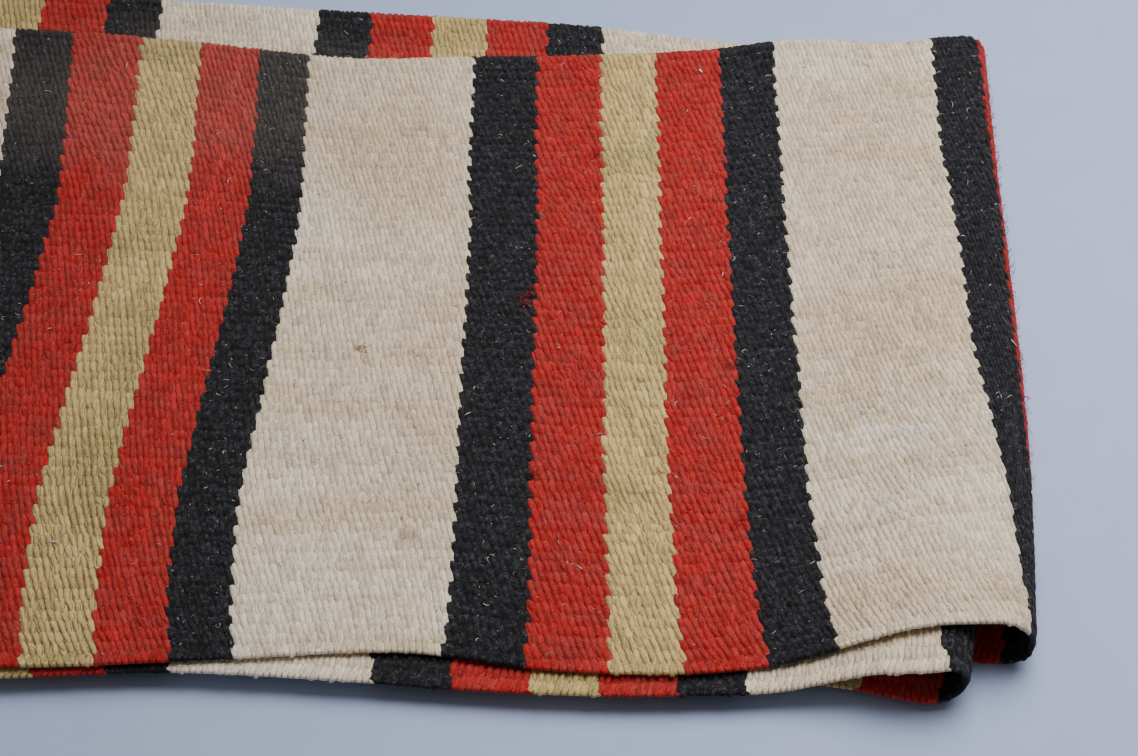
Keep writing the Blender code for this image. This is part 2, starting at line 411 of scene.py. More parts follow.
def make_sheet():
    """The cloth itself: a closed thin sheet on the folds."""
    half = FLAT_LENGTH / 2
    width = FLAT_WIDTH
    along = spaced(-half, (-half + 0.2, 0.2), (-half + 1, 0.4), (-420, 9), (-45, 6), (45, 2.5), (120, 6),
                   (half - 1, 10), (half - 0.2, 0.4), (half, 0.2))
    across = spaced(0, (0.2, 0.2), (1, 0.4), (9, 2.7), (360, 4.2), (BACK_TURN_START, 3),
                    (BACK_TURN_START + BACK_TURN, 1), (440, 4), (735, 12), (width - 1, 3), (width - 0.2, 0.4),
                    (width, 0.2))
    a, c = np.meshgrid(along, across, indexing="ij")
    lift = np.minimum(rounded_half(half - np.abs(a)), rounded_half(np.minimum(c, width - c)))
    points = np.stack([laid(a, c, lift), laid(a, c, -lift)])
    rows, columns = a.shape
    index = np.arange(2 * rows * columns).reshape(2, rows, columns)
    outer, inner = index

    def quads(grid):
        return np.stack([grid[:-1, :-1], grid[1:, :-1], grid[1:, 1:], grid[:-1, 1:]], -1).reshape(-1, 4)

    def rim(top, low):
        return np.stack([top[:-1], low[:-1], low[1:], top[1:]], -1)

    rims = [rim(outer[:, 0], inner[:, 0]), rim(outer[:, -1], inner[:, -1])[:, ::-1],
            rim(outer[0], inner[0])[:, ::-1], rim(outer[-1], inner[-1])]
    weave = np.stack([bumps_at(a, c), c / WARP_PITCH], -1)
    # The outer face bakes into the lower half of the square, and the inner face into the upper
    bake = np.stack([a / FLAT_LENGTH * 0.99 + 0.5, c / FLAT_WIDTH * 0.49 + 0.005], -1)
    uvs = {"OFBake": np.stack([bake, bake + [0, 0.5]]), "weave": np.stack([weave, weave])}
    return new_piece("blanket-cloth", points, [quads(outer), quads(inner)[:, ::-1], *rims], uvs)


# For baking, each small shape has a cell of its own, so many times as tall as wide, and reaches so far of its
# width and height from its middle
CELL_HEIGHT = 3
CELL_FILL = 0.45


def in_cells(local, count):
    """Where each of many like shapes bakes. local holds the places on one of them, from -1 to 1 both ways."""
    columns = math.ceil(math.sqrt(count * CELL_HEIGHT))
    lines = math.ceil(count / columns)
    cells = np.arange(count)
    middles = np.stack([(cells % columns + 0.5) / columns, (cells // columns + 0.5) / lines], -1)
    middles = middles.reshape(count, *[1] * (local.ndim - 1), 2)
    return middles + local * CELL_FILL / [columns, lines]


def yarn_color(bumps, points_each):
    """For each point the place in the repeat and two random numbers, of which the first is the tone."""
    count = len(bumps)
    place = np.mod(bumps, REPEAT_BUMPS) / REPEAT_BUMPS
    values = np.stack([place, rng.random(count), rng.random(count), np.ones(count)], -1)
    return np.repeat(values, points_each, axis=0)


# A weft bump is a small dome: two tips, and three stations of four points between them
STATIONS = (-0.55, 0.0, 0.55)
STATION_WIDTHS = (0.80, 1.0, 0.80)
ACROSS_BUMP = (-1.0, -0.5, 0.5, 1.0)
RIM_LIFT = 0.72
TIP_LIFT = 0.55
# How unevenly the bumps lie, as the usual stray from the mean: the crest and the slide in millimetres, the
# shift and the lean in counts of bumps, and the length and the width as shares
Uneven = namedtuple("Uneven", "crest shift slide length width lean")
UNEVEN = Uneven(crest=0.12, shift=0.08, slide=0.6, length=0.13, width=0.10, lean=0.13)
POINTS_PER_BUMP = 2 + len(STATIONS) * len(ACROSS_BUMP)
# A stretch of bumps: its warps, where along them it starts and ends, and 1 for the outer face or -1
Span = namedtuple("Span", "warps start end side")


def along_of(target, across, guess, steps):
    """Where along the cloth a count of bumps is reached, found step by step from a guess."""
    along = guess
    for _ in range(steps):
        along = along + (target - bumps_at(along, across)) * BUMP_WIDTH
    return along


def bump_centers(span):
    """The count, the warp's place and about where along the cloth each weft bump of a span lies."""
    counts, centers, guesses = [], [], []
    for warp in span.warps:
        center = (warp + 0.5) * WARP_PITCH
        first, last = bumps_at(np.array([span.start, span.end]), center)
        row = np.arange(math.ceil(first), math.floor(last)) + 0.25 + 0.5 * (warp % 2)
        counts.append(row)
        centers.append(np.full(len(row), center))
        guesses.append(span.start + (row - first) / (last - first) * (span.end - span.start))
    counts, centers, guesses = (np.concatenate(values) for values in (counts, centers, guesses))
    return counts, centers, along_of(counts, centers, guesses, 10)


def bump_points(span):
    """The points of every weft bump of a span, and their counts."""
    counts, centers, middles = bump_centers(span)
    number = len(counts)
    stripe = stripe_of(counts)
    crest = np.where(stripe == WHITE, WHITE_CREST, CREST) + rng.normal(0, UNEVEN.crest, number)
    shift = rng.normal(0, UNEVEN.shift, number)
    drift = 0.5 * np.sin(middles / 9.5 + centers / 31) * np.sin(middles / 37 - centers / 17)
    slide = rng.normal(0, UNEVEN.slide, number) + drift
    stretch = BUMP_HALF_LENGTH * rng.normal(1, UNEVEN.length, number)
    width = BUMP_HALF_WIDTH * rng.normal(1, UNEVEN.width, number)
    coarse = (stripe >= REDS[0]) & (stripe <= REDS[1])
    lean = np.where(coarse, BUMP_LEAN, PLAIN_LEAN) + rng.normal(0, UNEVEN.lean, number)
    points = np.zeros((number, POINTS_PER_BUMP, 3))

    def put(slot, station, share, lift):
        across = centers + station * stretch + slide
        stray = 0.12 * np.sin(across / 8.3 + counts / 2.9) + 0.09 * np.sin(across / 19 - counts / 6.7 + 2)
        along = along_of(counts + shift + stray + share * width - lean * station, across, middles, 4)
        points[:, slot] = laid(along, across, span.side * lift)

    put(0, -1.0, 0.0, np.full(number, TIP_LIFT))
    slot = 1
    for station, station_width in zip(STATIONS, STATION_WIDTHS):
        top = BASE_HALF + (crest - BASE_HALF) * math.cos(station * 1.15) ** 0.8
        for share in ACROSS_BUMP:
            put(slot, station, share * station_width, np.full(number, RIM_LIFT) if abs(share) == 1 else top)
            slot += 1
    put(slot, 1.0, 0.0, np.full(number, TIP_LIFT))
    return points, counts


def make_bumps(name, spans):
    """A joined mesh of weft bumps."""
    parts = [bump_points(span) for span in spans]
    points = np.concatenate([p for p, _ in parts])
    counts = np.concatenate([c for _, c in parts])
    below = np.concatenate([np.full(len(c), span.side < 0) for (_, c), span in zip(parts, spans)])
    wide = len(ACROSS_BUMP)
    last = POINTS_PER_BUMP - 1
    quads, tips = [], []
    for step in range(len(STATIONS) - 1):
        for place in range(wide - 1):
            low = 1 + step * wide + place
            quads.append([low, low + 1, low + wide + 1, low + wide])
    for place in range(wide - 1):
        tips.append([0, 2 + place, 1 + place])
        tips.append([last, last - wide + place, last - wide + place + 1])
    starts = np.arange(len(points)) * POINTS_PER_BUMP

    def spread(pattern):
        faces = starts[:, None, None] + np.array(pattern)[None]
        faces[below] = faces[below][:, :, ::-1]
        return faces.reshape(-1, len(pattern[0]))

    local = [[0, -1]] + [[place, station] for station in STATIONS for place in ACROSS_BUMP] + [[0, 1]]
    local = np.array(local, float)
    uvs = {"OFBake": in_cells(local, len(points)), "yarn_place": np.repeat(local[None], len(points), axis=0)}
    color = yarn_color(counts, POINTS_PER_BUMP)
    return new_piece(name, points, [spread(quads), spread(tips)], uvs, {"yarn": color})


def tubes(paths, sides_a, sides_b, side_count):
    """Joins many tubes. paths is (n, k, 3); sides_a and sides_b are the two half-axes, (n, k, 3) each."""
    angles = np.arange(side_count) * 2 * math.pi / side_count
    rings = (paths[:, :, None] + sides_a[:, :, None] * np.cos(angles)[:, None]
             + sides_b[:, :, None] * np.sin(angles)[:, None])
    number, length = paths.shape[:2]
    index = np.arange(number * length * side_count).reshape(number, length, side_count)
    turned = np.roll(index, -1, axis=2)
    quads = np.stack([index[:, :-1], turned[:, :-1], turned[:, 1:], index[:, 1:]], -1).reshape(-1, 4)
    caps = [index[:, 0, ::-1], index[:, -1]]
    return rings, [quads, *caps]


def tube_uvs(number, length, side_count):
    """Places along and around each tube, and its cell for baking."""
    around, down = np.meshgrid(np.linspace(-1, 1, side_count), np.linspace(-1, 1, length))
    local = np.stack([around, down], -1)
    return {"OFBake": in_cells(local, number), "yarn_place": np.repeat(local[None], number, axis=0)}


# Each of the weft's turns at a selvage is a flattened tube. This is how far it reaches in over both faces,
# how far in it starts, how high it lies off the cloth's middle, and how far short of the ends the turns stop.
SELVAGE_REACH = 5.6
SELVAGE_INSET = 0.9
SELVAGE_LIFT = 1.0
SELVAGE_END_GAP = 1.5
SELVAGE_STEPS = 9
SELVAGE_SIDES = 6
YARN_HALF = 1.3
YARN_THICK = 0.8
# Past this share of its reach a turn sinks into the cloth, to these shares less of its lift and its size
SINK_START = 0.6
SINK_LIFT = 0.6
SINK_SIZE = 0.35


def selvage_turns(edge, inward):
    """The middle line and the two half-axes of each of the weft's turns along one selvage."""
    half = FLAT_LENGTH / 2 - SELVAGE_END_GAP
    near = edge + inward * 2
    first, last = bumps_at(np.array([-half, half]), near)
    bumps = np.arange(math.ceil(first), math.floor(last)) + 0.25 + 0.25 * (inward < 0)
    number = len(bumps)
    middle = along_of(bumps, near, np.linspace(-half, half, number), 12)
    stray = rng.normal(0, 0.15, number)
    out = np.clip(rng.normal(0, 0.50, number), -1.15, 1.2)
    size = rng.normal(1, 0.10, number)
    plump = np.clip(rng.normal(1.05, 0.28, number), 0.6, 1.8)
    path = np.zeros((number, SELVAGE_STEPS, 3))
    wide = np.zeros_like(path)
    thick = np.zeros_like(path)
    for k, step in enumerate(np.linspace(-1, 1, SELVAGE_STEPS)):
        angle = step * math.pi / 2
        across = edge + inward * (SELVAGE_REACH * (1 - math.cos(angle) ** 0.8) + SELVAGE_INSET + out)
        sunk = max(0.0, abs(step) - SINK_START) / (1 - SINK_START)
        lift = SELVAGE_LIFT * math.copysign(abs(math.sin(angle)) ** 0.75, -step) * (1 - SINK_LIFT * sunk)
        along = along_of(bumps + stray + 0.16 * step, near, middle, 4)
        path[:, k] = laid(along, across, np.full(number, lift))
        e_along, e_across, e_out = directions_at(along, across)
        radial = e_across * -inward * math.cos(angle) + e_out * math.sin(-angle)
        radial /= np.linalg.norm(radial, axis=-1, keepdims=True)
        wide[:, k] = e_along * inward * (YARN_HALF * (1 - SINK_SIZE * sunk) * size)[:, None]
        thick[:, k] = radial * (YARN_THICK * (1 - SINK_SIZE * sunk) * plump)[:, None]
    return path, wide, thick, bumps


def make_selvages():
    """The weft's turns around the outermost warps, along both selvages."""
    edges = [selvage_turns(0.0, 1.0), selvage_turns(FLAT_WIDTH, -1.0)]
    path, wide, thick, bumps = (np.concatenate(values) for values in zip(*edges))
    rings, faces = tubes(path, wide, thick, SELVAGE_SIDES)
    uvs = tube_uvs(len(path), SELVAGE_STEPS, SELVAGE_SIDES)
    color = yarn_color(bumps, SELVAGE_STEPS * SELVAGE_SIDES)
    return new_piece("selvage-turns", rings, faces, uvs, {"yarn": color})


HAIR_ROOT = 0.85 * CREST
HAIR_STEPS = 4
HAIR_SIDES = 3
HAIR_TAPER = (0.9, 1.0, 0.8, 0.3)


def make_hairs(name, along, across, length, radius, rise, curl, bumps=None):
    """A joined mesh of thin curved fibres that lie on the cloth or stand off it, coloured by their place.

    rise is how steeply each leaves the cloth, and curl how much they turn. With bumps, those counts give the
    colours instead.
    """
    number = len(along)
    here = laid(along, across, np.full(number, HAIR_ROOT))
    e_along, e_across, e_out = directions_at(along, across)
    heading = rng.uniform(0, 2 * math.pi, number)
    bend = rng.normal(0, curl, number)
    path = np.zeros((number, HAIR_STEPS, 3))
    for k in range(HAIR_STEPS):
        path[:, k] = here
        share = k / (HAIR_STEPS - 1)
        turn = heading + bend * share
        lift = rise * math.cos(share * math.pi * 0.85)
        move = e_along * np.cos(turn)[:, None] + e_across * np.sin(turn)[:, None] + e_out * lift[:, None]
        here = here + move * (length / (HAIR_STEPS - 1))[:, None]
    direction = np.gradient(path, axis=1)
    direction /= np.linalg.norm(direction, axis=-1, keepdims=True)
    sideways = np.cross(direction, e_out[:, None])
    sideways /= np.maximum(np.linalg.norm(sideways, axis=-1, keepdims=True), 1e-6)
    upward = np.cross(sideways, direction)
    size = radius[:, None, None] * np.array(HAIR_TAPER)[None, :, None]
    rings, faces = tubes(path, sideways * size, upward * size, HAIR_SIDES)
    bumps = bumps_at(along, across) if bumps is None else bumps
    color = yarn_color(bumps, HAIR_STEPS * HAIR_SIDES)
    return new_piece(name, rings, faces, tube_uvs(number, HAIR_STEPS, HAIR_SIDES), {"yarn": color})


# Places on the plan where loose red fibres stand out in a tuft, and where a short piece of pale yarn lies
RED_TUFTS = ((-19, 198), (-17, 205), (-88, 171), (69, 70), (67, 160), (-14, 96), (12, 301))
PALE_PIECES = ((-13, 259), (18, 229), (63, 388), (62, 364), (-196, 372), (5, 44), (-203, 60))
TUFT_HAIRS = 16
FRONT_HAIRS = 26
TURN_HAIRS = 420
SPECKS = 260
# Counts of bumps that lie in the red and in the black
RED_BUMP = 15.0
BLACK_BUMP = 5.0
LAST_TOP_ACROSS = 378.0


def make_strays():
    """Loose red fibres, in tufts, at the inner selvage and along the right turn, and dark specks on white."""
    x, y = (np.repeat(values, TUFT_HAIRS).astype(float) for values in zip(*RED_TUFTS))
    tuft_along, tuft_across = on_top(x + rng.normal(0, 1.0, len(x)), y + rng.normal(0, 1.2, len(x)))
    front_along, turn_along = -210 + rng.normal(0, 2.5, FRONT_HAIRS), rng.uniform(-9, 10, TURN_HAIRS)
    front_across = FLAT_WIDTH - rng.uniform(1, 6, FRONT_HAIRS)
    turn_across = rng.uniform(90, LAST_TOP_ACROSS, TURN_HAIRS)
    along = np.concatenate([tuft_along, front_along, turn_along])
    across = np.concatenate([tuft_across, front_across, turn_across])
    reds = len(along)
    speck_along, speck_across = rng.uniform(-520, 0, SPECKS), rng.uniform(5, LAST_TOP_ACROSS, SPECKS)
    on_white = stripe_of(bumps_at(speck_along, speck_across)) == WHITE
    along = np.concatenate([along, speck_along[on_white]])
    across = np.concatenate([across, speck_across[on_white]])
    number = len(along)
    is_red = np.arange(number) < reds
    length = np.where(is_red, rng.uniform(2, 5.5, number), rng.uniform(0.5, 1.6, number))
    radius = np.where(is_red, rng.uniform(0.08, 0.15, number), rng.uniform(0.10, 0.22, number))
    rise = np.where(is_red, rng.uniform(0.3, 1.1, number), 0.15)
    bumps = np.where(is_red, RED_BUMP, BLACK_BUMP)
    return make_hairs("stray-fibres", along, across, length, radius, rise, 2.0, bumps)


def make_pale_pieces():
    """Short pieces of pale yarn caught on the top."""
    x, y = (np.array(values, float) for values in zip(*PALE_PIECES))
    along, across = on_top(x, y)
    number = len(along)
    return make_hairs("pale-yarn-pieces", along, across, rng.uniform(2.5, 4.5, number),
                      rng.uniform(0.35, 0.6, number), np.full(number, 0.15), 0.6)


# Colours, as linear light
CREAM = (0.875, 0.785, 0.645)
BLACK = (0.0095, 0.0095, 0.0130)
RED = (0.46, 0.0165, 0.0150)
GOLD = (0.655, 0.475, 0.20)
TAN = (0.66, 0.50, 0.31)
DULL_RED = (0.36, 0.045, 0.038)
OLIVE = (0.40, 0.33, 0.12)
DUST = (0.34, 0.29, 0.24)
BLEACHED = (0.95, 0.92, 0.86)
BROWN = (0.36, 0.17, 0.10)
STRIPES = Repeat(black_1=BLACK, red_1=RED, gold=GOLD, red_2=RED, black_2=BLACK, white=CREAM)
# Painted shade for the hollows between the bumps: what it does to each stripe's colour, least on the white
DEEP_SHADE = (0.34, 0.27, 0.26)
DEEP_GOLD_SHADE = (0.36, 0.30, 0.18)
SHALLOW_SHADE = (0.62, 0.56, 0.47)
HOLLOW_SHADE = Repeat(black_1=DEEP_SHADE, red_1=DEEP_SHADE, gold=DEEP_GOLD_SHADE, red_2=DEEP_SHADE, black_2=DEEP_SHADE, white=SHALLOW_SHADE)
# Partly soil and partly painted shade: the dark that the hollows take in the olive patch at the left front of
# the gold
SOIL_AND_SHADE = (0.085, 0.058, 0.018)
# What pale fibres and specks look like on each
GREY = (0.17, 0.17, 0.20)
PINK = (0.56, 0.12, 0.10)
PALE = (0.74, 0.64, 0.47)
FIBRES = Repeat(black_1=GREY, red_1=PINK, gold=PALE, red_2=PINK, black_2=GREY, white=BLEACHED)
NONE, FULL = (0.0, 0.0, 0.0), (1.0, 1.0, 1.0)


class Shader:
    """A material's nodes, with short ways to add them. A value is a number, a colour or a node's output."""

    def __init__(self, name, roughness, sheen):
        self.material = bpy.data.materials.new(name)
        self.material.use_nodes = True
        self.nodes = self.material.node_tree.nodes
        self.links = self.material.node_tree.links
        self.surface = self.nodes["Principled BSDF"]
        self.surface.inputs["Roughness"].default_value = roughness
        self.surface.inputs["Specular IOR Level"].default_value = 0.12
        self.surface.inputs["Sheen Weight"].default_value = sheen
        self.surface.inputs["Sheen Roughness"].default_value = 0.6
        self.object_place = self.add("ShaderNodeTexCoord", out=3)
        self.plan = self.split(self.object_place)

    def set(self, socket, value):
        if isinstance(value, bpy.types.NodeSocket):
            self.links.new(value, socket)
        elif isinstance(value, tuple) and len(value) == 3 and socket.type == "RGBA":
            socket.default_value = (*value, 1.0)
        else:
            socket.default_value = value

    def add(self, kind, values=(), out=0, **settings):
        node = self.nodes.new(kind)
        for key, value in settings.items():
            setattr(node, key, value)
        for key, value in dict(values).items():
            self.set(node.inputs[key], value)
        return node.outputs[out]

    def math(self, operation, a, b=0.0, clamp=False):
        return self.add("ShaderNodeMath", {0: a, 1: b}, operation=operation, use_clamp=clamp)

    def times(self, a, b):
        return self.math("MULTIPLY", a, b)

    def mix(self, factor, a, b, blend="MIX"):
        return self.add("ShaderNodeMix", {0: factor, 6: a, 7: b}, out=2, data_type="RGBA", blend_type=blend)

    def spread(self, value, low, high, to_low=0.0, to_high=1.0):
        return self.add("ShaderNodeMapRange", {0: value, 1: low, 2: high, 3: to_low, 4: to_high})

    def noise(self, vector, scale, detail=2.0, roughness=0.5):
        values = {"Vector": vector, "Scale": scale, "Detail": detail, "Roughness": roughness}
        return self.add("ShaderNodeTexNoise", values)

    def combine(self, x, y, z=0.0):
        return self.add("ShaderNodeCombineXYZ", {0: x, 1: y, 2: z})

    def split(self, vector):
        node = self.nodes.new("ShaderNodeSeparateXYZ")
        self.set(node.inputs[0], vector)
        return node.outputs

    def ramp(self, value, stops, interpolation="LINEAR"):
        node = self.nodes.new("ShaderNodeValToRGB")
        node.color_ramp.interpolation = interpolation
        elements = node.color_ramp.elements
        while len(elements) < len(stops):
            elements.new(0.5)
        for element, (place, color) in zip(elements, stops):
            element.position = place
            element.color = (*color, 1.0)
        self.set(node.inputs[0], value)
        return node.outputs[0]

    def bump(self, height, distance, strength=1.0, normal=None):
        values = {"Height": height, "Distance": distance, "Strength": strength}
        if normal is not None:
            values["Normal"] = normal
        return self.add("ShaderNodeBump", values)


def by_stripe(shader, place, values):
    """The value that a place in the repeat takes from a set with one for each stripe."""
    starts = np.concatenate([[0.0], STRIPE_ENDS[:-1]]) / REPEAT_BUMPS
    return shader.ramp(place, list(zip(starts.tolist(), values)), "CONSTANT")


def within(shader, place, *stripes):
    """Full where a place in the repeat is in one of these stripes, and nothing elsewhere."""
    return by_stripe(shader, place, [FULL if name in stripes else NONE for name in Repeat._fields])


def plan_mask(shader, uneven, x, y, width, depth, soft=0.5):
    """A soft blob on the plan, in millimetres, with an uneven edge."""
    dx = shader.math("DIVIDE", shader.math("SUBTRACT", shader.plan[0], x * MM + SHIFT[0]), width * MM / 2)
    dy = shader.math("DIVIDE", shader.math("SUBTRACT", shader.plan[1], y * MM + SHIFT[1]), depth * MM / 2)
    far = shader.math("ADD", shader.times(dx, dx), shader.times(dy, dy))
    far = shader.math("ADD", far, shader.times(shader.math("SUBTRACT", uneven, 0.5), 2.2))
    return shader.spread(far, 1.0 + soft, 1.0 - soft)


def stained(shader, color, mask, share, stain):
    return shader.mix(shader.times(mask, share), color, stain)


# The larger stains, by place and size on the plan in millimetres
Stain = namedtuple("Stain", "x y width depth soft share color")
WHITE_STAINS = (
    Stain(x=140, y=230, width=90, depth=260, soft=0.8, share=0.40, color=TAN),
    Stain(x=-80, y=310, width=70, depth=130, soft=0.7, share=0.55, color=TAN),
)
BLEACHED_PATCH = Stain(x=128, y=134, width=70, depth=60, soft=0.9, share=0.8, color=BLEACHED)
# A darker olive patch at the left front of the gold: partly soil, partly painted shade for the light that
# falls off towards the left front
SOILED_AND_SHADED_GOLD = Stain(x=-178, y=45, width=90, depth=210, soft=0.9, share=0.10, color=OLIVE)
DUSTY_CORNER = Stain(x=-185, y=345, width=200, depth=120, soft=0.6, share=0.14, color=DUST)
BROWN_SPOT = Stain(x=-64, y=63, width=9, depth=10, soft=0.8, share=0.5, color=BROWN)


def worn(shader, color, place):
    """Adds what years of use leave: uneven dye, dust and stains, and a darker olive patch at the left front
    of the gold that is partly soil and partly painted shade. It also gives where that patch lies.
    """
    uneven = shader.noise(shader.object_place, 38.0, 4.0, 0.6)
    white = within(shader, place, "white")
    gold = within(shader, place, "gold")
    x, y = shader.plan[0], shader.plan[1]
    stretched = shader.combine(shader.times(x, 8.0), shader.times(y, 55.0))
    bands = shader.noise(stretched, 1.0, 4.0, 0.6)
    cloudy = shader.noise(shader.object_place, 9.0, 3.0, 0.55)

    def on_white(mask):
        return shader.times(mask, white)

    def blob(stain):
        return plan_mask(shader, uneven, stain.x, stain.y, stain.width, stain.depth, stain.soft)

    color = stained(shader, color, on_white(shader.spread(cloudy, 0.42, 0.66)), 0.55, TAN)
    color = stained(shader, color, on_white(shader.spread(bands, 0.46, 0.62)), 0.55, TAN)
    for stain in WHITE_STAINS:
        color = stained(shader, color, on_white(blob(stain)), stain.share, stain.color)
    bright = shader.times(blob(BLEACHED_PATCH), shader.spread(uneven, 0.5, 0.58))
    color = stained(shader, color, on_white(bright), BLEACHED_PATCH.share, BLEACHED_PATCH.color)
    olive = shader.spread(shader.noise(shader.object_place, 30.0, 3.0, 0.6), 0.48, 0.62)
    color = stained(shader, color, shader.times(olive, gold), 0.6, OLIVE)
    # The gold's patch at the left front, partly soil and partly painted shade for the dimmer light there
    soiled_and_shaded = shader.times(blob(SOILED_AND_SHADED_GOLD), gold)
    color = stained(shader, color, soiled_and_shaded, SOILED_AND_SHADED_GOLD.share, SOILED_AND_SHADED_GOLD.color)
    faded = shader.spread(shader.noise(shader.object_place, 95.0, 3.0, 0.65), 0.44, 0.62)
    faded_red = shader.times(faded, within(shader, place, "red_1", "red_2"))
    color = stained(shader, color, faded_red, 0.55, DULL_RED)
    for stain in (DUSTY_CORNER, BROWN_SPOT):
        color = stained(shader, color, blob(stain), stain.share, stain.color)
    return color, soiled_and_shaded


FINE_SHADES = ((0.30, (0.72, 0.70, 0.69)), (0.70, (1.22, 1.22, 1.22)))
TONE_SHADES = ((0.0, (0.80, 0.79, 0.78)), (1.0, (1.15, 1.15, 1.15)))


def woolly(shader, color, place, tone):
    """Adds the fibres' own mottling, the yarn's tone, and pale specks. It also gives the fine mottling."""
    fine = shader.noise(shader.object_place, 1300.0, 3.0, 0.7)
    coarse = shader.noise(shader.object_place, 420.0, 2.0, 0.6)
    color = shader.mix(1.0, color, shader.ramp(fine, FINE_SHADES), "MULTIPLY")
    color = shader.mix(1.0, color, shader.ramp(tone, TONE_SHADES), "MULTIPLY")
    fibres = shader.times(shader.spread(coarse, 0.44, 0.72), shader.spread(fine, 0.42, 0.64))
    color = shader.mix(shader.times(fibres, 0.55), color, by_stripe(shader, place, FIBRES))
    return color, fine


def paint_hollow_shade(shader, color, place, share, soiled_and_shaded):
    """Paints shade into the hollows between the bumps: less on the white, and most in the gold's olive patch
    at the left front, which is partly soil and partly painted shade.
    """
    color = shader.mix(share, color, shader.mix(1.0, color, by_stripe(shader, place, HOLLOW_SHADE), "MULTIPLY"))
    return stained(shader, color, shader.times(share, soiled_and_shaded), 0.75, SOIL_AND_SHADE)


# How high the relief in the materials stands, in metres
BUMP_DISTANCE = 0.6 * MM


def yarn_material():
    """The yarn of the weft bumps, the selvages and the fuzz. Each has its place in the repeat with it."""
    shader = Shader("striped-wool-yarn", 0.95, 0.06)
    place, tone, _ = shader.split(shader.add("ShaderNodeAttribute", attribute_name="yarn"))
    color, soiled_and_shaded = worn(shader, by_stripe(shader, place, STRIPES), place)
    color, fine = woolly(shader, color, place, tone)
    side, end, _ = shader.split(shader.add("ShaderNodeUVMap", uv_map="yarn_place"))
    # Painted shade: each bump darkens towards its sides and ends, where it dips between its neighbours
    sides = shader.spread(shader.math("ABSOLUTE", side), 0.45, 1.0)
    ends = shader.spread(shader.math("ABSOLUTE", end), 0.6, 1.0, 0.0, 0.35)
    color = paint_hollow_shade(shader, color, place, shader.math("MAXIMUM", sides, ends), soiled_and_shaded)
    shader.set(shader.surface.inputs["Base Color"], color)
    shader.set(shader.surface.inputs["Normal"], shader.bump(fine, BUMP_DISTANCE, 0.9))
    return shader.material


def lattice(shader, bumps, warps, parity):
    """One of the weave's two sets of bumps: the height, the count and the row of the nearest."""
    row = shader.math("SUBTRACT", warps, 0.5 + parity)
    row = shader.times(shader.math("ROUND", shader.math("DIVIDE", row, 2.0)), 2.0)
    row = shader.math("ADD", row, 0.5 + parity)
    down = shader.math("DIVIDE", shader.math("SUBTRACT", warps, row), BUMP_HALF_LENGTH / WARP_PITCH)
    leaning = shader.math("ADD", bumps, shader.times(down, BUMP_LEAN))
    start = 0.25 + 0.5 * parity
    center = shader.math("ADD", shader.math("ROUND", shader.math("SUBTRACT", leaning, start)), start)
    side = shader.math("DIVIDE", shader.math("SUBTRACT", leaning, center), BUMP_HALF_WIDTH)
    square = shader.math("ADD", shader.math("POWER", shader.math("ABSOLUTE", side), 2.2),
                         shader.math("POWER", shader.math("ABSOLUTE", down), 2.0))
    return shader.math("SQRT", shader.math("SUBTRACT", 1.0, square, clamp=True)), center, row


def cloth_material():
    """The cloth's own surface, with the same weave as relief where no separate bumps lie on it."""
    shader = Shader("striped-wool-weave", 0.95, 0.06)
    bumps, warps, _ = shader.split(shader.add("ShaderNodeUVMap", uv_map="weave"))
    height_a, center_a, row_a = lattice(shader, bumps, warps, 0)
    height_b, center_b, row_b = lattice(shader, bumps, warps, 1)
    height = shader.math("MAXIMUM", height_a, height_b)
    second = shader.math("GREATER_THAN", height_b, height_a)

    def chosen(a, b):
        return shader.add("ShaderNodeMix", {0: second, 2: a, 3: b}, data_type="FLOAT")

    center = chosen(center_a, center_b)
    repeat = float(REPEAT_BUMPS)
    place = shader.math("DIVIDE", shader.math("FLOORED_MODULO", center, repeat), repeat)
    color, soiled_and_shaded = worn(shader, by_stripe(shader, place, STRIPES), place)
    spot = shader.combine(center, chosen(row_a, row_b))
    tone = shader.add("ShaderNodeTexWhiteNoise", {"Vector": spot}, noise_dimensions="3D")
    color, _ = woolly(shader, color, place, tone)
    # Painted shade: the weave darkens where its relief is low, in the slits between the bumps
    color = paint_hollow_shade(shader, color, place, shader.spread(height, 0.75, 0.1), soiled_and_shaded)
    shader.set(shader.surface.inputs["Base Color"], color)
    shader.set(shader.surface.inputs["Normal"], shader.bump(height, BUMP_DISTANCE))
    return shader.material


LINT_SHADES = (
    (0.0, (0.10, 0.10, 0.14)),
    (0.45, (0.26, 0.26, 0.28)),
    (0.8, (0.62, 0.61, 0.60)),
    (1.0, (0.85, 0.80, 0.72)),
)


def lint_material():
    """Caught lint and yarn, from dark grey to cream."""
    shader = Shader("pale-lint", 0.9, 0.1)
    tone = shader.split(shader.add("ShaderNodeAttribute", attribute_name="yarn"))[1]
    shader.set(shader.surface.inputs["Base Color"], shader.ramp(tone, LINT_SHADES))
    return shader.material


FLOOR_SHADES = ((0.3, (0.395, 0.47, 0.70)), (0.7, (0.415, 0.49, 0.725)))


def make_floor():
    """The plain pale surface that the blanket lies on."""
    bpy.ops.mesh.primitive_plane_add(size=12.0, location=(0.0, 0.0, 0.0))
    floor = bpy.context.object
    floor.name = "floor"
    shader = Shader("pale-floor", 0.55, 0.0)
    specks = shader.noise(shader.object_place, 40.0, 3.0, 0.6)
    shader.set(shader.surface.inputs["Base Color"], shader.ramp(specks, FLOOR_SHADES))
    floor.data.materials.append(shader.material)


# The camera, by its place in the plan, its angle below the level and its focal length in the image's pixels
FOCAL_PIXELS = 2779.0
IMAGE_WIDTH = 1138.0
CAMERA_PLAN = (0.0, -689.5, 826.9)
CAMERA_DEPRESSION = 44.0


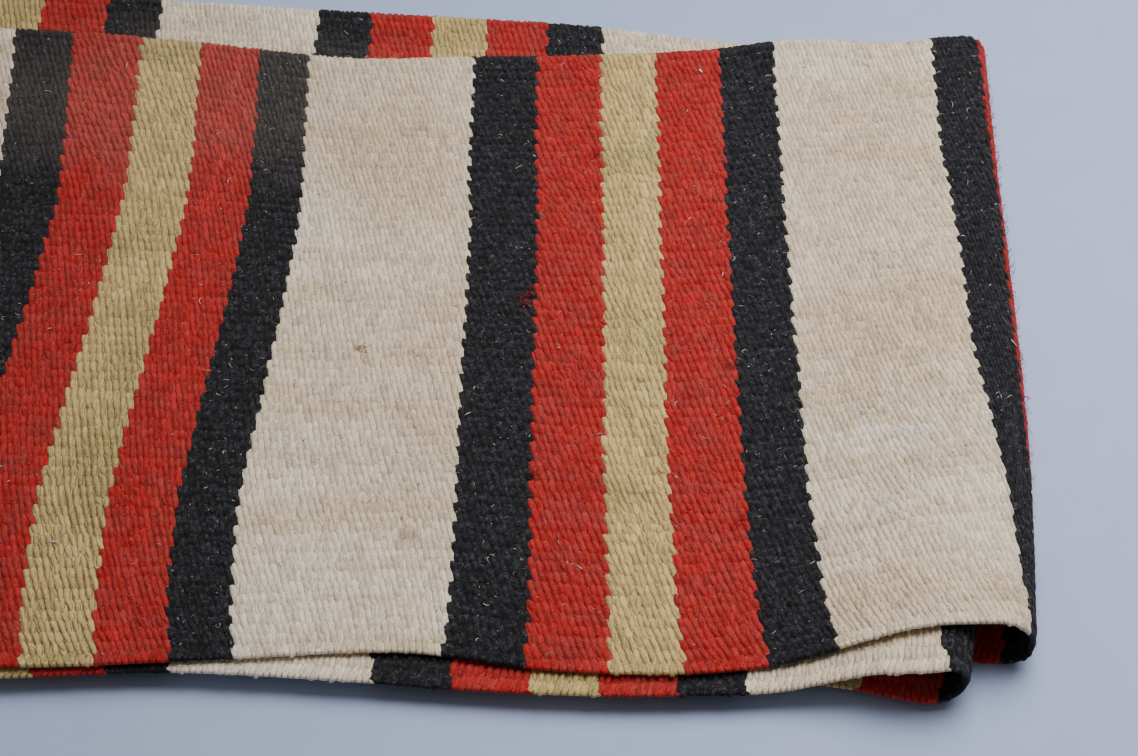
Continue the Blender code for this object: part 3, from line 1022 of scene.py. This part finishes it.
def make_camera():
    """The camera at the photograph's angle."""
    data = bpy.data.cameras.new("camera")
    data.sensor_width = 36.0
    data.lens = data.sensor_width * FOCAL_PIXELS / IMAGE_WIDTH
    camera = bpy.data.objects.new("camera", data)
    bpy.context.scene.collection.objects.link(camera)
    camera.location = to_frame(np.array(CAMERA_PLAN))
    camera.rotation_euler = (math.radians(90 - CAMERA_DEPRESSION), 0.0, 0.0)
    bpy.context.scene.camera = camera


def area_light(name, place, aim, size, power, color, spread):
    """A round soft light. Places and size are in metres, power in watts and spread in degrees."""
    data = bpy.data.lights.new(name, "AREA")
    data.spread = math.radians(spread)
    data.shape = "DISK"
    data.size = size
    data.energy = power
    data.color = color
    light = bpy.data.objects.new(name, data)
    bpy.context.scene.collection.objects.link(light)
    light.location = Vector(place)
    light.rotation_euler = (Vector(aim) - Vector(place)).to_track_quat("-Z", "Y").to_euler()


def make_lights():
    """A large soft light high beyond the right end, a little behind, and dim light from all around."""
    area_light("key", place=(0.68, 0.28, 1.05), aim=(0.60, -0.02, 0.0), size=1.25, power=10.0,
               color=(1.0, 0.985, 0.975), spread=108)
    world = bpy.data.worlds.new("studio")
    world.use_nodes = True
    background = world.node_tree.nodes["Background"]
    background.inputs[0].default_value = (1.0, 0.955, 0.90, 1.0)
    background.inputs[1].default_value = 0.22
    bpy.context.scene.world = world


# The cloth is dressed from end to end, and on the top from warp to warp
DRESSED_END = FLAT_LENGTH / 2 - 2
TOP_WARPS = range(1, 71)
# How far past the tip of the fold the top's bumps go on
TURN_END = 24
FUZZ_COUNT = 8000
LINT_TRIES = 7500
LINT_TRIES_ON_BAND = 700
# The shares of the tries that are kept on the black, on the red and everywhere
LINT_ON_BLACK = 0.9
LINT_ON_RED = 0.30
LINT_ANYWHERE = 0.03


def make_all_bumps():
    """The weft bumps of the top in four pieces, and those of the strips that show behind and in front."""
    end = DRESSED_END
    return [
        make_bumps("weft-bumps-left", [Span(TOP_WARPS, -end, -560, 1)]),
        make_bumps("weft-bumps-middle-left", [Span(TOP_WARPS, -560, -360, 1)]),
        make_bumps("weft-bumps-middle-right", [Span(TOP_WARPS, -360, -165, 1)]),
        make_bumps("weft-bumps-right", [Span(TOP_WARPS, -165, TURN_END, 1)]),
        make_bumps("weft-bumps-band", [Span(range(69, 81), TURN_END, end, 1), Span((71,), -end, TURN_END, 1),
                                       Span(range(136, 140), -end, 20, -1)]),
    ]


def make_fuzz():
    """Short fine hairs all over the top."""
    along, across = rng.uniform(-DRESSED_END, TURN_END, FUZZ_COUNT), rng.uniform(1, 380, FUZZ_COUNT)
    length, radius = rng.uniform(1.5, 5, FUZZ_COUNT), rng.uniform(0.05, 0.10, FUZZ_COUNT)
    return make_hairs("fuzz", along, across, length, radius, rng.uniform(0.1, 0.9, FUZZ_COUNT), 1.8)


def make_lint():
    """Caught lint, thickest on the black."""
    top, band = LINT_TRIES, LINT_TRIES_ON_BAND
    along = np.concatenate([rng.uniform(-DRESSED_END, 15, top), rng.uniform(TURN_END, DRESSED_END, band)])
    across = np.concatenate([rng.uniform(3, LAST_TOP_ACROSS, top), rng.uniform(381, 435, band)])
    stripe = stripe_of(bumps_at(along, across))
    on_black = np.isin(stripe, BLACKS) & (rng.random(top + band) < LINT_ON_BLACK)
    on_red = np.isin(stripe, REDS) & (rng.random(top + band) < LINT_ON_RED)
    keep = on_black | on_red | (rng.random(top + band) < LINT_ANYWHERE)
    along, across = along[keep], across[keep]
    number = len(along)
    length, radius = np.minimum(rng.gamma(1.2, 1.0, number) + 0.5, 4.5), rng.uniform(0.07, 0.20, number)
    return make_hairs("lint", along, across, length, radius, rng.uniform(0.05, 0.3, number), 2.8)


def main():
    make_camera()
    make_lights()
    make_floor()
    cloth = make_sheet()
    cloth.data.materials.append(cloth_material())
    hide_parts("blanket")

    yarn = yarn_material()
    wool = [*make_all_bumps(), make_selvages(), make_fuzz(), make_strays()]
    for piece in wool:
        piece.data.materials.append(yarn)

    caught = [make_lint(), make_pale_pieces()]
    pale = lint_material()
    for piece in caught:
        piece.data.materials.append(pale)


main()
